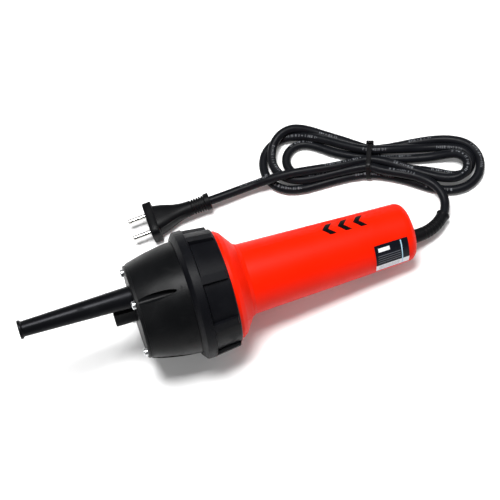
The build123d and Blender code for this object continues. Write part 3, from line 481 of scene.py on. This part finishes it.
# centre of a corner cord across the hank and its height, with the angles between which the tie bends
TIE_CORNERS = [((15.8, 5.5), -90, LEAN), ((11.2, 13.3), LEAN, 90), ((-6.4, 13.3), 90, 180 - LEAN),
               ((-10.8, 5.5), 180 - LEAN, 270)]
TIE_WIDTH = 4.7
TIE_THICK = 1.15
TIE_STEP = 12.0
TIE_GAP = 0.05
TIE_BEVEL = 0.4
TIE_CROWN = 0.15
TIE_HEAD = (3.6, 2.6, 3.3)
TIE_HEAD_AT = (12.9, 9.0)
TIE_HEAD_REACH = 7.6
TIE_HEAD_CHAMFER = 0.6
TIE_END = (2.3, 0.6, 2.0)
TIE_END_RISE = 4.6
TIE_END_OUT = 0.8
TIE_END_CHAMFER = 0.2


def tie_point(along, across, height):
    """Point (m) in the hank's frame."""
    return Vector(hank(along, across, height)) * MM


tie_mesh = bmesh.new()
inside, outside = [], []
for (across, height), start, end in TIE_CORNERS:
    count = max(2, ceil((end - start) / TIE_STEP))
    for k in range(count + 1):
        turn = radians(start + (end - start) * k / count)
        for reach, store in ((CORD_D / 2 + TIE_GAP, inside), (CORD_D / 2 + TIE_GAP + TIE_THICK, outside)):
            store.append((across + cos(turn) * reach, height + sin(turn) * reach))
tie_loops = []
for (y0, z0), (y1, z1) in zip(inside, outside):
    half = TIE_WIDTH / 2
    crown = (y1 + (y1 - y0) * TIE_CROWN, z1 + (z1 - z0) * TIE_CROWN)
    tie_loops.append([tie_mesh.verts.new(tie_point(*corner)) for corner in (
        (-half, y0, z0), (half, y0, z0), (half, y1, z1), (half - TIE_BEVEL, *crown),
        (-half + TIE_BEVEL, *crown), (-half, y1, z1))])
for first, second in zip(tie_loops, tie_loops[1:] + tie_loops[:1]):
    for k in range(len(first)):
        after = (k + 1) % len(first)
        tie_mesh.faces.new((first[k], first[after], second[after], second[k]))


def add_block(mesh, centre, half, axes, chamfer):
    """Chamfered block with half sizes along three axes."""
    made = bmesh.ops.create_cube(mesh, size=2.0)["verts"]
    for vert in made:
        corner = vert.co.copy()
        vert.co = centre + sum((axes[k] * (corner[k] * half[k] * MM) for k in range(3)), Vector())
    edges = list({edge for vert in made for edge in vert.link_edges})
    bmesh.ops.bevel(mesh, geom=edges, offset=chamfer * MM, segments=2, affect="EDGES")


along_axis = (tie_point(1, 0, 0) - tie_point(0, 0, 0)).normalized()
lean = radians(LEAN)
out_axis = ((tie_point(0, 1, 0) - tie_point(0, 0, 0)).normalized() * cos(lean)
            + Vector((0, 0, 1)) * sin(lean))
rise_axis = along_axis.cross(out_axis)
head_at = tie_point(0, TIE_HEAD_AT[0] + cos(lean) * TIE_HEAD_REACH,
                    TIE_HEAD_AT[1] + sin(lean) * TIE_HEAD_REACH)
add_block(tie_mesh, head_at, TIE_HEAD, (along_axis, out_axis, rise_axis), TIE_HEAD_CHAMFER)
add_block(tie_mesh, head_at + rise_axis * TIE_END_RISE * MM + out_axis * TIE_END_OUT * MM, TIE_END,
          (along_axis, out_axis, rise_axis), TIE_END_CHAMFER)
tie = finished(tie_mesh, "hank_tie", TIE, 30)
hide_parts("cable_tie")

# ---- pale marks printed along the cord: plain dashes in groups ----
MARK_HALF_ANGLE = 17.0
MARK_RADIUS = CORD_D / 2 + 0.035
luck = Random(7)
cord_frames = frames_along(cord_line)
cord_way = travelled(cord_line)


def place_on_cord(distance, lean_angle):
    """Point and outward direction on the cord's surface at a distance along it."""
    low, high = 0, len(cord_way) - 1
    while high - low > 1:
        middle = (low + high) // 2
        low, high = (middle, high) if cord_way[middle] <= distance else (low, middle)
    share = (distance - cord_way[low]) / (cord_way[high] - cord_way[low])
    point = cord_line[low].lerp(cord_line[high], share)
    tangent = cord_frames[low][1].lerp(cord_frames[high][1], share).normalized()
    raised = (Vector((0, 0, 1)) - tangent * tangent.z).normalized()
    return point, Quaternion(tangent, lean_angle) @ raised, tangent


marks = bmesh.new()
spot = 0.055
while spot < cord_length - 0.03:
    group_end = spot + luck.uniform(0.018, 0.042)
    while spot < group_end:
        width = luck.choice((0.0007, 0.0009, 0.0016))
        tall = luck.choice((1.0, 1.0, 0.55))
        rows = []
        for step in (0.0, width):
            lean_angle = radians(24) * sin((spot + step) * 9.0)
            row = []
            for k in range(5):
                turn = lean_angle + radians(MARK_HALF_ANGLE) * tall * (k / 2 - 1)
                point, outward, tangent = place_on_cord(spot + step, turn)
                row.append(marks.verts.new(point + outward * MARK_RADIUS * MM))
            rows.append(row)
        for k in range(4):
            marks.faces.new((rows[0][k], rows[0][k + 1], rows[1][k + 1], rows[1][k]))
        spot += width + luck.choice((0.0008, 0.0010, 0.0022))
    spot += luck.uniform(0.022, 0.062)
cord_marks = finished(marks, "cord_marks", PRINT, 60)

# ---- rating label ----
LABEL_STATIONS = (10.5, 43.5)
LABEL_ANGLES = (58.0, 120.0)
LABEL_STEPS = (10, 24)
LABEL_UNDERSIDE = 0.02
LABEL_TOP = 0.32


def label_material():
    """Dark field with a pale foot, thin rules and a blue line, laid out in the label's own UV."""
    mat = bpy.data.materials.new("label_print")
    mat.use_nodes = True
    tree = mat.node_tree
    make = tree.nodes.new
    link = tree.links.new
    shader = tree.nodes["Principled BSDF"]
    uv = make("ShaderNodeUVMap")
    uv.uv_map = "label"
    split = make("ShaderNodeSeparateXYZ")
    link(uv.outputs["UV"], split.inputs["Vector"])

    def window(source, low, high):
        above = make("ShaderNodeMath")
        above.operation = "GREATER_THAN"
        link(source, above.inputs[0])
        above.inputs[1].default_value = low
        below = make("ShaderNodeMath")
        below.operation = "LESS_THAN"
        link(source, below.inputs[0])
        below.inputs[1].default_value = high
        both = make("ShaderNodeMath")
        both.operation = "MULTIPLY"
        link(above.outputs["Value"], both.inputs[0])
        link(below.outputs["Value"], both.inputs[1])
        return both.outputs["Value"]

    def product(first, second):
        node = make("ShaderNodeMath")
        node.operation = "MULTIPLY"
        link(first, node.inputs[0])
        link(second, node.inputs[1])
        return node.outputs["Value"]

    def painted(under, colour, where):
        mix = make("ShaderNodeMix")
        mix.data_type = "RGBA"
        link(where, mix.inputs["Factor"])
        link(under, mix.inputs["A"])
        mix.inputs["B"].default_value = (*colour, 1.0)
        return mix.outputs["Result"]

    u, v = split.outputs["X"], split.outputs["Y"]
    noise = make("ShaderNodeTexNoise")
    noise.inputs["Scale"].default_value = 60.0
    link(uv.outputs["UV"], noise.inputs["Vector"])
    base = make("ShaderNodeValToRGB")
    base.color_ramp.elements[0].color = (0.002, 0.0025, 0.005, 1.0)
    base.color_ramp.elements[1].color = (0.005, 0.006, 0.010, 1.0)
    link(noise.outputs["Fac"], base.inputs["Fac"])
    colour = base.outputs["Color"]
    for low, high in LABEL_RULES:
        rule = product(window(u, 0.26, 0.93), window(v, low, high))
        colour = painted(colour, (0.085, 0.090, 0.105), rule)
    colour = painted(colour, (0.62, 0.63, 0.66), window(v, 0.70, 0.97))
    for low, high in LABEL_FOOT_RULES:
        colour = painted(colour, (0.10, 0.10, 0.12), product(window(u, 0.30, 0.92), window(v, low, high)))
    colour = painted(colour, (0.66, 0.67, 0.70), product(window(u, 0.56, 0.90), window(v, 0.10, 0.22)))
    colour = painted(colour, (0.33, 0.50, 0.62), product(window(u, 0.195, 0.225), window(v, 0.03, 0.97)))
    link(colour, shader.inputs["Base Color"])
    shader.inputs["Specular IOR Level"].default_value = 0.08
    rough = make("ShaderNodeMapRange")
    rough.inputs["To Min"].default_value = 0.26
    rough.inputs["To Max"].default_value = 0.42
    link(noise.outputs["Fac"], rough.inputs["Value"])
    link(rough.outputs["Result"], shader.inputs["Roughness"])
    return mat


LABEL_RULES = [(0.34, 0.365), (0.42, 0.44), (0.50, 0.52), (0.58, 0.60)]
LABEL_FOOT_RULES = [(0.76, 0.775), (0.82, 0.835), (0.88, 0.895)]
label_mesh = bmesh.new()
uv_layer = label_mesh.loops.layers.uv.new("label")
label_sides = []
for height in (LABEL_UNDERSIDE, LABEL_TOP):
    grid = []
    for i in range(LABEL_STEPS[0] + 1):
        row = []
        for j in range(LABEL_STEPS[1] + 1):
            u, v = i / LABEL_STEPS[0], j / LABEL_STEPS[1]
            station = LABEL_STATIONS[0] + (LABEL_STATIONS[1] - LABEL_STATIONS[0]) * u
            angle = LABEL_ANGLES[0] + (LABEL_ANGLES[1] - LABEL_ANGLES[0]) * v
            vert = label_mesh.verts.new(on_tool(station, angle, barrel_radius(station) + height))
            row.append((vert, (u, v)))
        grid.append(row)
    label_sides.append(grid)


def label_face(corners):
    """Face of the label whose corners carry their place on the print."""
    face = label_mesh.faces.new([vert for vert, _ in corners])
    for loop, (_, place) in zip(face.loops, corners):
        loop[uv_layer].uv = place


for grid in label_sides:
    for i in range(LABEL_STEPS[0]):
        for j in range(LABEL_STEPS[1]):
            label_face([grid[i][j], grid[i + 1][j], grid[i + 1][j + 1], grid[i][j + 1]])
low_grid, high_grid = label_sides
for i in range(LABEL_STEPS[0]):
    for j in (0, LABEL_STEPS[1]):
        label_face([low_grid[i][j], low_grid[i + 1][j], high_grid[i + 1][j], high_grid[i][j]])
for j in range(LABEL_STEPS[1]):
    for i in (0, LABEL_STEPS[0]):
        label_face([low_grid[i][j], low_grid[i][j + 1], high_grid[i][j + 1], high_grid[i][j]])
label = finished(label_mesh, "rating_plate", label_material(), 30)
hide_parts("rating_label")

# ---- airflow chevrons on the barrel ----
CHEVRONS = (42.0, 57.0, 72.0)
CHEVRON_THICK = 6.0
CHEVRON_HALF = 7.6
CHEVRON_SWEEP = 0.75
CHEVRON_STEPS = 12
CHEVRON_COLUMNS = 3
CHEVRON_LIFT = 0.01
CHEVRON_INK = 0.07


def edge_of(rows):
    """The vertices round a grid of rows, in order."""
    return [row[0] for row in rows] + rows[-1][1:-1] + [row[-1] for row in rows[::-1]] + rows[0][-2:0:-1]


chevrons = bmesh.new()
for first in CHEVRONS:
    for height in (0.0, CHEVRON_INK):
        rows = []
        for k in range(-CHEVRON_STEPS, CHEVRON_STEPS + 1):
            arc = CHEVRON_HALF * k / CHEVRON_STEPS
            start = first + CHEVRON_SWEEP * (CHEVRON_HALF - abs(arc))
            row = []
            for m in range(CHEVRON_COLUMNS + 1):
                station = start + CHEVRON_THICK * m / CHEVRON_COLUMNS
                radius = barrel_radius(station) + CHEVRON_LIFT + height
                row.append(chevrons.verts.new(on_tool(station, degrees(arc / radius), radius)))
            rows.append(row)
        if height:
            for near, far in zip(rows, rows[1:]):
                for m in range(CHEVRON_COLUMNS):
                    chevrons.faces.new((near[m], near[m + 1], far[m + 1], far[m]))
            rim = edge_of(rows)
            for k in range(len(rim)):
                chevrons.faces.new((rim[k - 1], rim[k], base_rim[k], base_rim[k - 1]))
        else:
            base_rim = edge_of(rows)
loose = [vert for vert in chevrons.verts if not vert.link_faces]
bmesh.ops.delete(chevrons, geom=loose, context="VERTS")
finished(chevrons, "airflow_marking", INK, 30)

# ---- floor, lights, world ----
FLOOR_SIZE = 30.0
FLOOR_DROP = 0.0002
FLOOR_GREY = 0.80
FLOOR_GLOW = 0.08
WORLD_STRENGTH = 0.20
bpy.ops.mesh.primitive_plane_add(size=FLOOR_SIZE, location=(0, 0, -FLOOR_DROP))
floor = bpy.context.object
floor.name = "floor"
floor_mat = bpy.data.materials.new("floor")
floor_mat.use_nodes = True
floor_shader = floor_mat.node_tree.nodes["Principled BSDF"]
floor_shader.inputs["Base Color"].default_value = (FLOOR_GREY, FLOOR_GREY, FLOOR_GREY, 1.0)
floor_shader.inputs["Emission Color"].default_value = (1.0, 1.0, 1.0, 1.0)
floor_shader.inputs["Emission Strength"].default_value = FLOOR_GLOW
floor_shader.inputs["Roughness"].default_value = 0.9
floor_shader.inputs["Specular IOR Level"].default_value = 0.1
floor.data.materials.append(floor_mat)


def softbox(name, at, aim, size, power):
    """Rectangular light aimed at a point."""
    light = bpy.data.lights.new(name, "AREA")
    light.shape = "RECTANGLE"
    light.size, light.size_y = size
    light.energy = power
    obj = bpy.data.objects.new(name, light)
    scene.collection.objects.link(obj)
    obj.location = at
    obj.rotation_euler = (Vector(aim) - Vector(at)).to_track_quat("-Z", "Y").to_euler()


softbox("key", (0.06, 0.16, 1.80), (0.04, 0.03, 0.03), (0.8, 0.6), 62.0)
softbox("front_fill", (-1.1, -1.0, 1.3), (0.0, 0.0, 0.05), (1.0, 1.0), 4.0)
softbox("side_fill", (1.5, 0.2, 1.1), (0.0, 0.0, 0.05), (0.8, 0.8), 3.0)

world = bpy.data.worlds.new("studio")
world.use_nodes = True
scene.world = world
world.node_tree.nodes["Background"].inputs["Color"].default_value = (1.0, 1.0, 1.0, 1.0)
world.node_tree.nodes["Background"].inputs["Strength"].default_value = WORLD_STRENGTH
scene.view_settings.view_transform = "Standard"
